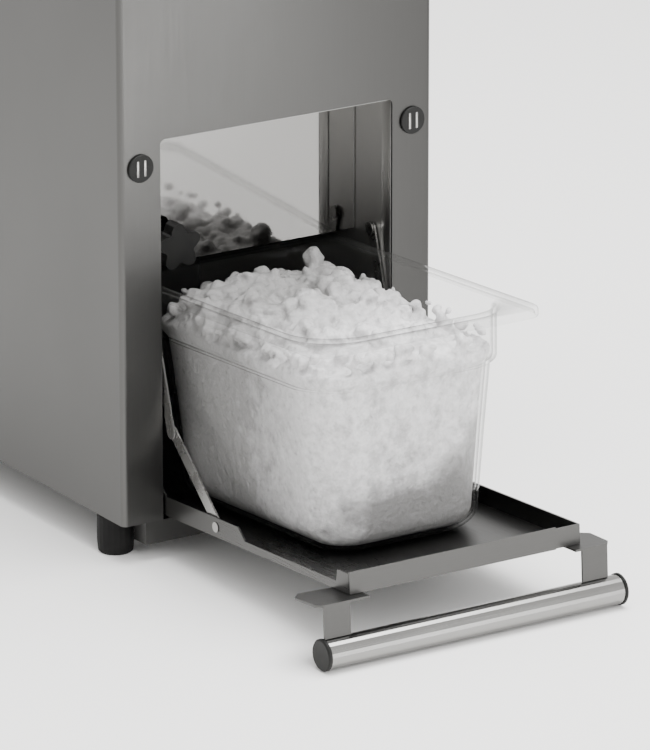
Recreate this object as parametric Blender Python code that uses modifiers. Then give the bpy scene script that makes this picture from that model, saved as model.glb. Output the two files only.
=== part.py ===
"""Countertop shaved ice machine with a fold-down pan tray, two-link stays and a hinged feed lid.

Units are metres and +Z is up. The machine faces -Y, and its feet stand on Z = 0.
Positions are written from the cabinet's front face; FRONT_Y places that face in the frame.
"""
import math

import bmesh
import bpy
from mathutils import Matrix, Vector

# Cabinet
FRONT_Y = -0.0825
CABINET_HALF_WIDTH = 0.1220
CABINET_DEPTH = 0.4000
FOOT_HEIGHT = 0.0280
CASING_TOP = 0.5920
TOP_COVER_TOP = 0.6040
SHEET = 0.0012
GAP = 0.0003
CORNER_RADIUS = 0.0035
FOOT_RADIUS = 0.0125
FOOT_INSET_X = 0.1090
FOOT_INSET_Y = 0.0325

# Ice compartment
OPENING_HALF_WIDTH = 0.0910
OPENING_TOP = 0.2920
OPENING_CORNER = 0.0040
COMPARTMENT_DEPTH = 0.2490
DECK_Z = 0.2998
COVER_Y = 0.0460
COVER_BOTTOM = 0.1904
KNOB_X = -0.0580
KNOB_Z = 0.2050
KNOB_RADIUS = 0.0165

# Magnetic catches
MAGNET_X = 0.1065
MAGNET_Z = 0.2750
MAGNET_RADIUS = 0.0095
MAGNET_PROUD = 0.0020

# Fold-down tray, in its own frame: origin on the hinge axis, -Y to the tray's front
HINGE_Y = 0.0120
HINGE_Z = 0.0445
TRAY_TILT = math.radians(3.3)
TRAY_HALF_WIDTH = 0.0900
TRAY_FRONT = -0.2388
TRAY_REAR = 0.0080
TRAY_UNDER = -0.0140
LIP_TOP = -0.0005
LOW_LIP_TOP = -0.0085
HINGE_PIN_RADIUS = 0.0030

# Handle
TUBE_Y = -0.2470
TUBE_Z = -0.0476
TUBE_RADIUS = 0.0100
TUBE_ENDS = {-1: -0.1150, 1: 0.1126}
CAP_RADIUS = 0.01075
EAR_INNER_X = 0.0800
EAR_OUTER_X = {-1: 0.1205, 1: 0.1095}
DROP_X = {-1: (0.0950, 0.1150), 1: (0.0850, 0.1050)}

# Folding stays: pivot points in the cabinet's side view (Y from the front face, Z)
STAY_TOP = (0.0234, 0.1960)
STAY_ELBOW = (-0.0086, 0.0915)
STAY_TRAY = (-0.0653, 0.0419)
UPPER_LINK_X = 0.0889
LOWER_LINK_X = 0.0872
LINK_THICKNESS = 0.0012
LINK_HALF_WIDTH = 0.0045

# Ice pan, in the tray's frame
PAN_HALF_WIDTH = 0.0880
PAN_FRONT = -0.2075
PAN_LENGTH = 0.2150
PAN_HEIGHT = 0.1528
PAN_WALL = 0.0028

# Crusher and drive
ROTOR_Y = 0.1290
ROTOR_Z = 0.3560
ROTOR_PULLEY_RADIUS = 0.0450
MOTOR_Y = 0.3000
MOTOR_Z = 0.3700
MOTOR_RADIUS = 0.0520
MOTOR_PULLEY_RADIUS = 0.0180
PULLEY_X = 0.0840
PULLEY_WIDTH = 0.0140
GROOVE_DEPTH = 0.0030

# Feed lid and controls
LID_HINGE_Y = 0.2160
LID_HINGE_Z = 0.6086
CONTROL_Z = 0.5225
SWITCH_X = -0.0450
RESET_X = 0.0500
PILOT_X = 0.0050
SWITCH_TILT = math.radians(8.0)

PART_NAME = "shaved_ice_machine"


def clear_scene():
    """Remove every object and its mesh from the open file."""
    for obj in list(bpy.data.objects):
        bpy.data.objects.remove(obj, do_unlink=True)


def new_collection(name):
    """Make a collection under the scene."""
    collection = bpy.data.collections.new(name)
    bpy.context.scene.collection.children.link(collection)
    return collection


def new_material(name, color, roughness, metallic, alpha=1.0):
    """Make a Principled material of one finish."""
    material = bpy.data.materials.new(name)
    material.use_nodes = True
    shader = material.node_tree.nodes["Principled BSDF"]
    shader.inputs["Base Color"].default_value = (*color, 1.0)
    shader.inputs["Roughness"].default_value = roughness
    shader.inputs["Metallic"].default_value = metallic
    shader.inputs["Alpha"].default_value = alpha
    return material


clear_scene()
PARTS = new_collection(PART_NAME)
CUTTERS = new_collection("cutters")
STEEL = new_material("satin_steel", (0.52, 0.51, 0.50), 0.34, 1.0)
MIRROR = new_material("polished_steel", (0.72, 0.71, 0.70), 0.08, 1.0)
ZINC = new_material("plated_steel", (0.60, 0.60, 0.58), 0.30, 1.0)
RUBBER = new_material("black_rubber", (0.03, 0.03, 0.03), 0.75, 0.0)
PLASTIC = new_material("black_plastic", (0.02, 0.02, 0.02), 0.40, 0.0)
CLEAR = new_material("clear_plastic", (0.92, 0.93, 0.93), 0.05, 0.0, 0.35)
CAST = new_material("cast_aluminium", (0.62, 0.62, 0.63), 0.50, 1.0)
PAINT = new_material("motor_paint", (0.10, 0.11, 0.12), 0.45, 0.0)
RED = new_material("red_plastic", (0.55, 0.04, 0.03), 0.35, 0.0)
AMBER = new_material("amber_lens", (0.85, 0.35, 0.05), 0.15, 0.0)


def add_object(name, mesh, material, parent=None, collection=None):
    """Put a mesh in the scene as a named object."""
    obj = bpy.data.objects.new(name, mesh)
    (collection or PARTS).objects.link(obj)
    if material:
        obj.data.materials.append(material)
    if parent:
        obj.parent = parent
    return obj


def mesh_of(build):
    """Make a mesh from a function that fills a bmesh."""
    mesh = bpy.data.meshes.new("shape")
    bm = bmesh.new()
    build(bm)
    bmesh.ops.recalc_face_normals(bm, faces=bm.faces)
    if bm.calc_volume(signed=True) < 0.0:
        bmesh.ops.reverse_faces(bm, faces=bm.faces)
    bm.to_mesh(mesh)
    bm.free()
    return mesh


def box(name, x, y, z, material=None, parent=None, front=True, collection=None):
    """Make a box from its low and high X, Y and Z; front adds FRONT_Y to Y."""
    shift = FRONT_Y if front else 0.0
    centre = Vector(((x[0] + x[1]) / 2, (y[0] + y[1]) / 2 + shift, (z[0] + z[1]) / 2))
    size = (x[1] - x[0], y[1] - y[0], z[1] - z[0])

    def build(bm):
        bmesh.ops.create_cube(bm, size=1.0)
        bmesh.ops.scale(bm, vec=size, verts=bm.verts)

    obj = add_object(name, mesh_of(build), material, parent, collection)
    obj.location = centre
    return obj


def turned(name, profile, centre, axis, material=None, parent=None, steps=20, front=True, collection=None):
    """Turn a profile of (radius, height) points, listed top to bottom, about an axis through centre."""
    mesh = bpy.data.meshes.new("profile")
    points = [(radius, 0.0, height) for radius, height in profile]
    mesh.from_pydata(points, [(i, i + 1) for i in range(len(points) - 1)], [])
    obj = add_object(name, mesh, material, parent, collection)
    screw = obj.modifiers.new("turn", "SCREW")
    screw.steps = steps
    screw.render_steps = steps
    screw.use_merge_vertices = True
    screw.merge_threshold = 0.00001
    shift = FRONT_Y if front else 0.0
    obj.location = (centre[0], centre[1] + shift, centre[2])
    turn = {"X": (0.0, math.pi / 2, 0.0), "Y": (-math.pi / 2, 0.0, 0.0), "Z": (0.0, 0.0, 0.0)}
    obj.rotation_euler = turn[axis]
    return obj


def cylinder(name, radius, low, high, centre, axis, **options):
    """Make a plain round bar between low and high along its axis."""
    profile = [(0.0, high), (radius, high), (radius, low), (0.0, low)]
    return turned(name, profile, centre, axis, **options)


def baked(obj, name, material, parent=None):
    """Turn a curve object into a welded mesh object that keeps its place."""
    graph = bpy.context.evaluated_depsgraph_get()
    graph.update()
    mesh = bpy.data.meshes.new_from_object(obj.evaluated_get(graph))
    bm = bmesh.new()
    bm.from_mesh(mesh)
    bmesh.ops.remove_doubles(bm, verts=bm.verts, dist=0.000005)
    bmesh.ops.recalc_face_normals(bm, faces=bm.faces)
    bm.to_mesh(mesh)
    bm.free()
    mesh.materials.clear()
    place = obj.matrix_local.copy()
    bpy.data.objects.remove(obj, do_unlink=True)
    result = add_object(name, mesh, material, parent)
    result.matrix_local = place
    return result


PLANES = {
    "XY": Matrix(((1, 0, 0), (0, 1, 0), (0, 0, 1))),
    "XZ": Matrix(((1, 0, 0), (0, 0, -1), (0, 1, 0))),
    "YZ": Matrix(((0, 0, 1), (1, 0, 0), (0, 1, 0))),
}


def outline(name, loops, plane, low, high, material=None, parent=None, front=True):
    """Make a flat piece from closed outlines in a plane, between low and high across that plane."""
    curve = bpy.data.curves.new(name, "CURVE")
    curve.dimensions = "2D"
    curve.fill_mode = "BOTH"
    curve.extrude = (high - low) / 2
    for loop in loops:
        spline = curve.splines.new("POLY")
        spline.points.add(len(loop) - 1)
        for point, (u, v) in zip(spline.points, loop):
            point.co = (u, v, 0.0, 1.0)
        spline.use_cyclic_u = True
    obj = bpy.data.objects.new(name + "_outline", curve)
    PARTS.objects.link(obj)
    turn = PLANES[plane]
    obj.matrix_local = Matrix.Translation(turn @ Vector((0, 0, (high + low) / 2))) @ turn.to_4x4()
    if front:
        obj.location.y += FRONT_Y
    bpy.context.view_layer.update()
    return baked(obj, name, material, parent)


def boolean(target, tools, operation):
    """Cut tools from a target or join them to it, and keep the tools out of the part."""
    for tool in tools:
        modifier = target.modifiers.new(tool.name, "BOOLEAN")
        modifier.operation = operation
        modifier.solver = "EXACT"
        modifier.object = tool
        tool.hide_render = True
        tool.display_type = "WIRE"
        for collection in list(tool.users_collection):
            collection.objects.unlink(tool)
        CUTTERS.objects.link(tool)
        tool.name = "tool_" + tool.name
    return target


def cut(target, *tools):
    """Cut each tool from the target."""
    return boolean(target, tools, "DIFFERENCE")


def join(target, *tools):
    """Join each tool to the target as one body."""
    return boolean(target, tools, "UNION")


def arc(centre, radius, start, end, steps=5):
    """List points along an arc, angles in degrees."""
    points = []
    for i in range(steps + 1):
        angle = math.radians(start + (end - start) * i / steps)
        points.append((centre[0] + radius * math.cos(angle), centre[1] + radius * math.sin(angle)))
    return points


def rounded_rectangle(half_x, low_y, high_y, radius, steps=4):
    """List an outline with four equal round corners, anticlockwise."""
    x = half_x - radius
    points = arc((x, low_y + radius), radius, -90, 0, steps)
    points += arc((x, high_y - radius), radius, 0, 90, steps)
    points += arc((-x, high_y - radius), radius, 90, 180, steps)
    points += arc((-x, low_y + radius), radius, 180, 270, steps)
    return points


def skin(bm, rings, closed):
    """Skin between rings of equal point counts; closed joins the last ring back to the first."""
    loops = [[bm.verts.new((x, y, z)) for x, y in points] for points, z in rings]
    pairs = list(zip(loops, loops[1:]))
    if closed:
        pairs.append((loops[-1], loops[0]))
    for lower, upper in pairs:
        count = len(lower)
        for i in range(count):
            j = (i + 1) % count
            bm.faces.new((lower[i], lower[j], upper[j], upper[i]))
    if not closed:
        bm.faces.new(loops[0])
        bm.faces.new(loops[-1])


def loft(name, rings, material, parent=None, closed=False, collection=None):
    """Make a body lofted through rings, each a list of (x, y) points and a height."""
    mesh = mesh_of(lambda bm: skin(bm, rings, closed))
    return add_object(name, mesh, material, parent, collection)


def frame_empty(name, location, rotation=(0.0, 0.0, 0.0), parent=None):
    """Make an empty that holds a moving body's frame on its joint axis."""
    empty = bpy.data.objects.new(name, None)
    empty.empty_display_size = 0.02
    PARTS.objects.link(empty)
    empty.location = location
    empty.rotation_euler = rotation
    if parent:
        empty.parent = parent
    return empty


def hang(location, *pieces):
    """Hang pieces on one empty at their joint's axis, in their parent's frame, and leave them in place."""
    empty = frame_empty(pieces[0].name + "_pivot", location, parent=pieces[0].parent)
    for piece in pieces:
        piece.parent = empty
        piece.matrix_parent_inverse = Matrix.Translation(location).inverted()


def smooth_round_pieces():
    """Shade every piece smooth, keeping edges sharper than 35 degrees."""
    for obj in PARTS.objects:
        if obj.type == "MESH":
            obj.data.shade_smooth()
            obj.data.set_sharp_from_angle(angle=math.radians(35.0))


def side(sign):
    """Name a side by the sign of its X."""
    return "left" if sign < 0 else "right"


def span(sign, inner, outer):
    """Give the low and high X of a piece on one side."""
    return (min(sign * inner, sign * outer), max(sign * inner, sign * outer))


def build_casing():
    """Make the wrapped front and sides, with the ice opening and the control holes."""
    out_x = CABINET_HALF_WIDTH
    in_x = out_x - SHEET
    r = CORNER_RADIUS
    inner_r = r - SHEET
    loop = [(-out_x, CABINET_DEPTH)] + arc((-out_x + r, r), r, 180, 270)
    loop += arc((out_x - r, r), r, 270, 360) + [(out_x, CABINET_DEPTH), (in_x, CABINET_DEPTH)]
    loop += arc((out_x - r, r), inner_r, 360, 270) + arc((-out_x + r, r), inner_r, 270, 180)
    loop += [(-in_x, CABINET_DEPTH)]
    casing = outline("casing", [loop], "XY", FOOT_HEIGHT, CASING_TOP, STEEL)
    w = OPENING_HALF_WIDTH
    c = OPENING_CORNER
    gap = [(-w, FOOT_HEIGHT - 0.01), (w, FOOT_HEIGHT - 0.01)] + arc((w - c, OPENING_TOP - c), c, 0, 90)
    gap += arc((-w + c, OPENING_TOP - c), c, 90, 180)
    holes = [outline("ice_opening", [gap], "XZ", -0.01, 0.01)]
    for sign in (-1, 1):
        place = (sign * MAGNET_X, 0.0, MAGNET_Z)
        holes.append(cylinder(f"catch_hole_{side(sign)}", 0.0033, -0.01, 0.01, place, "Y"))
    holes.append(box("switch_hole", (SWITCH_X - 0.0133, SWITCH_X + 0.0133), (-0.01, 0.01),
                     (CONTROL_Z - 0.0203, CONTROL_Z + 0.0203)))
    holes.append(cylinder("reset_hole", 0.0053, -0.01, 0.01, (RESET_X, 0.0, CONTROL_Z), "Y"))
    holes.append(cylinder("pilot_hole", 0.0053, -0.01, 0.01, (PILOT_X, 0.0, CONTROL_Z), "Y"))
    cut(casing, *holes)


def build_rear_panel():
    """Make the rear sheet with its louvre slots and cable hole."""
    x = CABINET_HALF_WIDTH - SHEET - 0.0004
    panel = box("rear_panel", (-x, x), (CABINET_DEPTH - 0.0015, CABINET_DEPTH - GAP), (0.030, 0.5915), STEEL)
    for row in range(6):
        z = 0.380 + 0.022 * row
        cut(panel, box(f"louvre_{row}", (-0.070, 0.070), (0.390, 0.410), (z, z + 0.006)))
    cut(panel, cylinder("gland_hole", 0.0073, -0.01, 0.01, (0.070, CABINET_DEPTH, 0.075), "Y"))
    gland = [(0.0040, 0.0130), (0.0070, 0.0130), (0.0095, 0.0100), (0.0095, 0.0000), (0.0070, 0.0000),
             (0.0070, -0.0120), (0.0040, -0.0120), (0.0040, 0.0130)]
    turned("cable_gland", gland, (0.070, CABINET_DEPTH, 0.075), "Y", PLASTIC)


def build_base():
    """Make the base plate, the front channel, the melt tray and the feet."""
    x = CABINET_HALF_WIDTH - SHEET - 0.0004
    notch = 0.0928
    loop = [(-x, 0.0042), (-notch, 0.0042), (-notch, 0.2660), (notch, 0.2660), (notch, 0.0042), (x, 0.0042),
            (x, 0.3980), (-x, 0.3980)]
    outline("base_plate", [loop], "XY", FOOT_HEIGHT + GAP, FOOT_HEIGHT + 0.0018, STEEL)
    channel = box("front_channel", (-0.104, 0.104), (0.0012, 0.0165), (0.0120, 0.0277), STEEL)
    cut(channel, box("channel_inside", (-0.1025, 0.1025), (0.0027, 0.0200), (0.0135, 0.0262)))
    melt = box("melt_tray", (-0.0920, 0.0920), (0.0180, 0.2640), (0.0120, 0.0279), STEEL)
    cut(melt, box("melt_inside", (-0.0910, 0.0910), (0.0190, 0.2630), (0.0130, 0.0400)))
    top = FOOT_HEIGHT - GAP
    profile = [(0.0, top), (FOOT_RADIUS - 0.001, top), (FOOT_RADIUS, top - 0.001), (FOOT_RADIUS, 0.0080),
               (FOOT_RADIUS - 0.0006, 0.0015), (FOOT_RADIUS - 0.0020, 0.0), (0.0, 0.0)]
    for end, y in (("front", FOOT_INSET_Y), ("rear", CABINET_DEPTH - FOOT_INSET_Y)):
        for sign in (-1, 1):
            turned(f"foot_{end}_{side(sign)}", profile, (sign * FOOT_INSET_X, y, 0.0), "Z", RUBBER)


def build_compartment():
    """Make the ice compartment's liners, bulkhead, deck, chute and mirror-polished chute cover."""
    for sign in (-1, 1):
        x = span(sign, OPENING_HALF_WIDTH, OPENING_HALF_WIDTH + 0.0010)
        liner = box(f"side_liner_{side(sign)}", x, (0.0016, COMPARTMENT_DEPTH), (0.0302, 0.2994), STEEL)
        centre = (sign * OPENING_HALF_WIDTH, HINGE_Y, HINGE_Z)
        cut(liner, cylinder(f"liner_hinge_hole_{side(sign)}", 0.0033, -0.01, 0.01, centre, "X"))
        centre = (sign * OPENING_HALF_WIDTH, STAY_TOP[0], STAY_TOP[1])
        cut(liner, cylinder(f"liner_stay_hole_{side(sign)}", 0.0028, -0.01, 0.01, centre, "X"))
    box("rear_bulkhead", (-0.0920, 0.0920), (COMPARTMENT_DEPTH + 0.0004, COMPARTMENT_DEPTH + 0.0016),
        (0.0302, 0.2994), STEEL)
    x = CABINET_HALF_WIDTH - SHEET - 0.0005
    deck = box("deck_plate", (-x, x), (0.0042, 0.3900), (DECK_Z, DECK_Z + 0.0015), STEEL)
    cut(deck, box("deck_hole", (-0.0580, 0.0580), (0.0680, 0.1900), (DECK_Z - 0.01, DECK_Z + 0.01)))
    chute = box("discharge_chute", (-0.0620, 0.0620), (0.0620, 0.1960), (0.2050, DECK_Z - GAP), STEEL)
    cut(chute, box("chute_inside", (-0.0608, 0.0608), (0.0632, 0.1948), (0.19, 0.31)))
    cover = box("chute_cover", (-0.0906, 0.0906), (COVER_Y, COVER_Y + SHEET), (COVER_BOTTOM, DECK_Z - GAP),
                MIRROR)
    cut(cover, cylinder("cover_stud_hole", 0.0043, -0.01, 0.01, (KNOB_X, COVER_Y, KNOB_Z), "Y"))


def build_knob():
    """Make the lobed clamping knob of the chute cover, with its threaded stud."""
    lobes = 5
    loop = []
    for i in range(40):
        angle = math.tau * i / 40
        radius = KNOB_RADIUS - 0.0021 * (1 + math.cos(lobes * angle + 1.2)) ** 1.4
        loop.append((KNOB_X + radius * math.cos(angle), KNOB_Z + radius * math.sin(angle)))
    knob = outline("cover_knob", [loop], "XZ", -(COVER_Y - 0.0055), -(COVER_Y - 0.0160), PLASTIC)
    centre = (KNOB_X, COVER_Y, KNOB_Z)
    neck = [(0.0, 0.0120), (0.0040, 0.0120), (0.0040, -0.0004), (0.0095, -0.0004), (0.0095, -0.0080),
            (0.0, -0.0080)]
    join(knob, turned("knob_neck", neck, centre, "Y"))
    hang((KNOB_X, COVER_Y + FRONT_Y, KNOB_Z), knob)


def build_catches():
    """Make the two round magnetic catches on the front face."""
    for sign in (-1, 1):
        profile = [(0.0, 0.0060), (0.0030, 0.0060), (0.0030, -GAP), (MAGNET_RADIUS, -GAP),
                   (MAGNET_RADIUS, -MAGNET_PROUD + 0.0005), (MAGNET_RADIUS - 0.0005, -MAGNET_PROUD),
                   (0.0, -MAGNET_PROUD)]
        centre = (sign * MAGNET_X, 0.0, MAGNET_Z)
        turned(f"magnet_catch_{side(sign)}", profile, centre, "Y", PLASTIC, steps=24)


def lip_outline(low_from=None):
    """List a side lip's outline in the tray's frame; low_from gives where the lip steps down."""
    points = [(TRAY_REAR, TRAY_UNDER), (TRAY_REAR, 0.0030), (0.0040, 0.0070), (-0.0060, 0.0070),
              (-0.0140, LIP_TOP)]
    if low_from is not None:
        points += [(low_from, LIP_TOP), (low_from - 0.0083, LOW_LIP_TOP),
                   (TRAY_FRONT + 0.0150, LOW_LIP_TOP), (TRAY_FRONT + 0.0130, LIP_TOP)]
    points += [(TRAY_FRONT, LIP_TOP), (TRAY_FRONT, TRAY_UNDER)]
    return points


def build_tray():
    """Make the folding tray, its front strip, handle and hinge pins, and return its frame."""
    tray_frame = frame_empty("tray_frame", (0.0, HINGE_Y + FRONT_Y, HINGE_Z), (-TRAY_TILT, 0.0, 0.0))
    own = {"parent": tray_frame, "front": False}
    w = TRAY_HALF_WIDTH
    tray = box("tray", (-w, w), (TRAY_FRONT, TRAY_REAR), (TRAY_UNDER, TRAY_UNDER + SHEET), STEEL, **own)
    parts = [box("front_lip", (-w, w), (TRAY_FRONT, TRAY_FRONT + SHEET), (TRAY_UNDER, LIP_TOP), **own)]
    for sign, low_from in ((-1, -0.1047), (1, None)):
        low, high = span(sign, w - SHEET, w)
        parts.append(outline(f"lip_{side(sign)}", [lip_outline(low_from)], "YZ", low, high, **own))
    join(tray, *parts)
    rivet_y, rivet_z = to_tray(STAY_TRAY)
    for sign in (-1, 1):
        ear = (sign * w, 0.0, 0.0)
        cut(tray, cylinder(f"lip_pin_hole_{side(sign)}", 0.0033, -0.01, 0.01, ear, "X", **own))
        cut(tray, cylinder(f"lip_rivet_hole_{side(sign)}", 0.0025, -0.004, 0.004,
                           (sign * w, rivet_y, rivet_z), "X", **own))
    box("tray_front_strip", (-w, 0.0700), (TRAY_FRONT - 0.0015, TRAY_FRONT - GAP), (TRAY_UNDER, 0.0010),
        STEEL, **own)
    for sign in (-1, 1):
        build_bracket(sign, own)
        cap = [(0.0, 0.0030), (CAP_RADIUS - 0.0010, 0.0030), (CAP_RADIUS, 0.0020), (CAP_RADIUS, GAP),
               (0.0082, GAP), (0.0082, -0.0090), (0.0, -0.0090)]
        if sign < 0:
            cap = [(radius, -height) for radius, height in reversed(cap)]
        centre = (TUBE_ENDS[sign], TUBE_Y, TUBE_Z)
        turned(f"handle_end_cap_{side(sign)}", cap, centre, "X", PLASTIC, steps=24, **own)
        rivet = [(0.0, 0.0038), (0.0035, 0.0038), (0.0035, 0.0030), (0.0022, 0.0030), (0.0022, -0.0002),
                 (0.0035, -0.0002), (0.0035, -0.0007), (0.0, -0.0007)]
        if sign > 0:
            rivet = [(radius, -height) for radius, height in reversed(rivet)]
        centre = (sign * w, rivet_y, rivet_z)
        turned(f"tray_rivet_{side(sign)}", rivet, centre, "X", ZINC, steps=16, **own)
    tube = cylinder("handle_tube", TUBE_RADIUS, TUBE_ENDS[-1], TUBE_ENDS[1], (0.0, TUBE_Y, TUBE_Z), "X",
                    material=STEEL, steps=24, **own)
    cut(tube, cylinder("tube_bore", 0.0085, -0.13, 0.13, (0.0, TUBE_Y, TUBE_Z), "X", steps=24, **own))
    return tray_frame


def build_bracket(sign, own):
    """Make a handle bracket: a flat ear under the tray's corner, bent down to the tube."""
    thickness = 0.0015
    top = TRAY_UNDER - GAP
    front = TUBE_Y - 0.0013
    outer = EAR_OUTER_X[sign]
    drop_x = DROP_X[sign]
    x = [EAR_INNER_X, outer - 0.0060, outer, outer - 0.0010, drop_x[1], EAR_INNER_X]
    y = [-0.2190, -0.2160, -0.2220, -0.2440, front, front]
    loop = [(sign * px, py) for px, py in zip(x, y)]
    ear = outline(f"handle_bracket_{side(sign)}", [loop], "XY", top - thickness, top, STEEL, **own)
    drop = box(f"drop_{side(sign)}", span(sign, *drop_x), (front, front + thickness),
               (TUBE_Z + TUBE_RADIUS + GAP, top - 0.0002), **own)
    join(ear, drop)


def to_tray(point):
    """Turn a side-view point (Y from the front face, Z) into the open tray's frame."""
    y = point[0] - HINGE_Y
    z = point[1] - HINGE_Z
    c = math.cos(TRAY_TILT)
    s = math.sin(TRAY_TILT)
    return (c * y - s * z, s * y + c * z)


def link_outline(start, end):
    """List a stay link's outline between two pivots, with round ends."""
    angle = math.degrees(math.atan2(end[1] - start[1], end[0] - start[0]))
    points = arc(end, LINK_HALF_WIDTH, angle - 90, angle + 90, 8)
    points += arc(start, LINK_HALF_WIDTH, angle + 90, angle + 270, 8)
    return points


def build_stays(tray_frame):
    """Make the two-link folding stays and their pivots; each stay is opened at its elbow."""
    own = {"parent": tray_frame, "front": False}
    elbow = to_tray(STAY_ELBOW)
    foot = to_tray(STAY_TRAY)
    for sign in (-1, 1):
        name = side(sign)
        low, high = span(sign, UPPER_LINK_X, UPPER_LINK_X + LINK_THICKNESS)
        shape = link_outline(STAY_TOP, STAY_ELBOW)
        upper = outline(f"stay_upper_link_{name}", [shape], "YZ", low, high, ZINC)
        cut(upper, cylinder(f"upper_hole_{name}", 0.0028, -0.01, 0.01, (low, *STAY_TOP), "X"))
        low, high = span(sign, LOWER_LINK_X, LOWER_LINK_X + LINK_THICKNESS)
        shape = link_outline(foot, elbow)
        lower = outline(f"stay_lower_link_{name}", [shape], "YZ", low, high, ZINC, **own)
        cut(lower, cylinder(f"lower_hole_{name}", 0.0025, -0.01, 0.01, (low, *foot), "X", **own))
        x = span(sign, LOWER_LINK_X - 0.0010, LOWER_LINK_X + LINK_THICKNESS + 0.0003)
        join(lower, cylinder(f"elbow_rivet_{name}", 0.0033, *x, (0.0, *elbow), "X", steps=20, **own))
        hang((sign * OPENING_HALF_WIDTH, STAY_TOP[0] + FRONT_Y, STAY_TOP[1]), upper)
        hang((sign * OPENING_HALF_WIDTH, *foot), lower)
        pin = [(0.0, 0.0045), (0.0050, 0.0045), (0.0050, 0.0013), (0.0025, 0.0013), (0.0025, -0.0024),
               (0.0042, -0.0024), (0.0042, -0.0036), (0.0, -0.0036)]
        hinge = [(0.0, 0.0060), (0.0060, 0.0060), (0.0060, 0.0013), (HINGE_PIN_RADIUS, 0.0013),
                 (HINGE_PIN_RADIUS, -0.0025), (0.0050, -0.0025), (0.0050, -0.0038), (0.0, -0.0038)]
        if sign < 0:
            pin = [(radius, -height) for radius, height in reversed(pin)]
            hinge = [(radius, -height) for radius, height in reversed(hinge)]
        wall = sign * OPENING_HALF_WIDTH
        turned(f"stay_pin_{name}", pin, (wall, *STAY_TOP), "X", ZINC, steps=20)
        turned(f"hinge_pin_{name}", hinge, (wall, HINGE_Y, HINGE_Z), "X", ZINC, steps=20)


def build_pan(tray_frame):
    """Make the clear ice pan with its flange, turned-down rim, stacking shoulder and tapered walls."""
    half = PAN_LENGTH / 2
    bottom = TRAY_UNDER + SHEET + GAP
    middle = PAN_FRONT + half

    def ring(inset_x, inset_y, radius, height):
        low_y = middle - half + inset_y
        high_y = middle + half - inset_y
        return rounded_rectangle(PAN_HALF_WIDTH - inset_x, low_y, high_y, radius, 5), bottom + height

    t = PAN_WALL
    top = PAN_HEIGHT
    outer = [(0.0400, 0.0430, 0.0200, 0.0), (0.0300, 0.0350, 0.0280, 0.0030),
             (0.0242, 0.0300, 0.0320, 0.0120), (0.0225, 0.0280, 0.0340, 0.0250),
             (0.0142, 0.0195, 0.0370, 0.1130), (0.0108, 0.0162, 0.0380, 0.1165),
             (0.0100, 0.0150, 0.0380, 0.1455), (0.0016, 0.0016, 0.0100, 0.1470),
             (0.0014, 0.0014, 0.0100, 0.1462), (0.0, 0.0, 0.0110, 0.1462),
             (0.0, 0.0, 0.0110, top - 0.0010), (0.0010, 0.0010, 0.0100, top)]
    inner = [(0.0075, 0.0125, 0.0380, top), (0.0100 + t, 0.0150 + t, 0.0350, 0.1490),
             (0.0108 + t, 0.0162 + t, 0.0350, 0.1175), (0.0142 + t, 0.0195 + t, 0.0340, 0.1140),
             (0.0225 + t, 0.0280 + t, 0.0310, 0.0250), (0.0242 + t, 0.0300 + t, 0.0290, 0.0130),
             (0.0310 + t, 0.0360 + t, 0.0240, 0.0045), (0.0400 + t, 0.0430 + t, 0.0180, t)]
    rings = [ring(*level) for level in outer + inner]
    pan = loft("ice_pan", rings, CLEAR, tray_frame)
    hang((0.0, middle, bottom), pan)


def build_crusher():
    """Make the crusher housing, its comb, bearings, bladed rotor and pulley."""
    body = box("crusher_body", (-0.0700, 0.0700), (0.0620, 0.1960), (DECK_Z + 0.0018, 0.4100), CAST)
    cut(body, box("crusher_inside", (-0.0640, 0.0640), (0.0680, 0.1900), (0.29, 0.42)))
    for sign in (-1, 1):
        centre = (sign * 0.0670, ROTOR_Y, ROTOR_Z)
        cut(body, cylinder(f"bearing_hole_{side(sign)}", 0.0170, -0.01, 0.01, centre, "X"))
        ring = [(0.0083, 0.0035), (0.0167, 0.0035), (0.0167, -0.0035), (0.0083, -0.0035), (0.0083, 0.0035)]
        turned(f"bearing_{side(sign)}", ring, centre, "X", ZINC)
    rotor = cylinder("rotor", 0.0240, -0.0610, 0.0610, (0.0, ROTOR_Y, ROTOR_Z), "X", material=ZINC)
    shaft = cylinder("rotor_shaft", 0.0080, -0.0780, 0.1040, (0.0, ROTOR_Y, ROTOR_Z), "X")
    blades = []
    for i in range(6):
        blade = box(f"blade_{i}", (-0.0590, 0.0590), (-0.0020, 0.0020), (0.0200, 0.0330))
        angle = math.tau * i / 6 + 0.25
        turn = Matrix.Rotation(angle, 4, "X")
        blade.matrix_world = Matrix.Translation((0.0, ROTOR_Y + FRONT_Y, ROTOR_Z)) @ turn \
            @ Matrix.Translation((0.0, 0.0, 0.0265))
        blades.append(blade)
    join(rotor, shaft, *blades)
    comb = box("crusher_comb", (-0.0636, 0.0636), (0.1650, 0.1896), (0.3530, 0.3590), ZINC)
    for i in range(6):
        x = -0.0500 + 0.0200 * i
        cut(comb, box(f"comb_slot_{i}", (x - 0.0050, x + 0.0050), (0.1600, 0.1800), (0.34, 0.37)))
    build_pulley("rotor_pulley", ROTOR_PULLEY_RADIUS, ROTOR_Y, ROTOR_Z, 0.0083)


def build_pulley(name, radius, y, z, bore):
    """Make a grooved pulley with a bore on the drive's plane."""
    r = radius
    g = GROOVE_DEPTH
    w = PULLEY_WIDTH
    profile = [(bore, w), (r, w), (r, w - 0.0010), (r - g, w - 0.0015), (r - g, 0.0015), (r, 0.0010),
               (r, 0.0), (bore, 0.0), (bore, w)]
    turned(name, profile, (PULLEY_X, y, z), "X", CAST)


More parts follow.
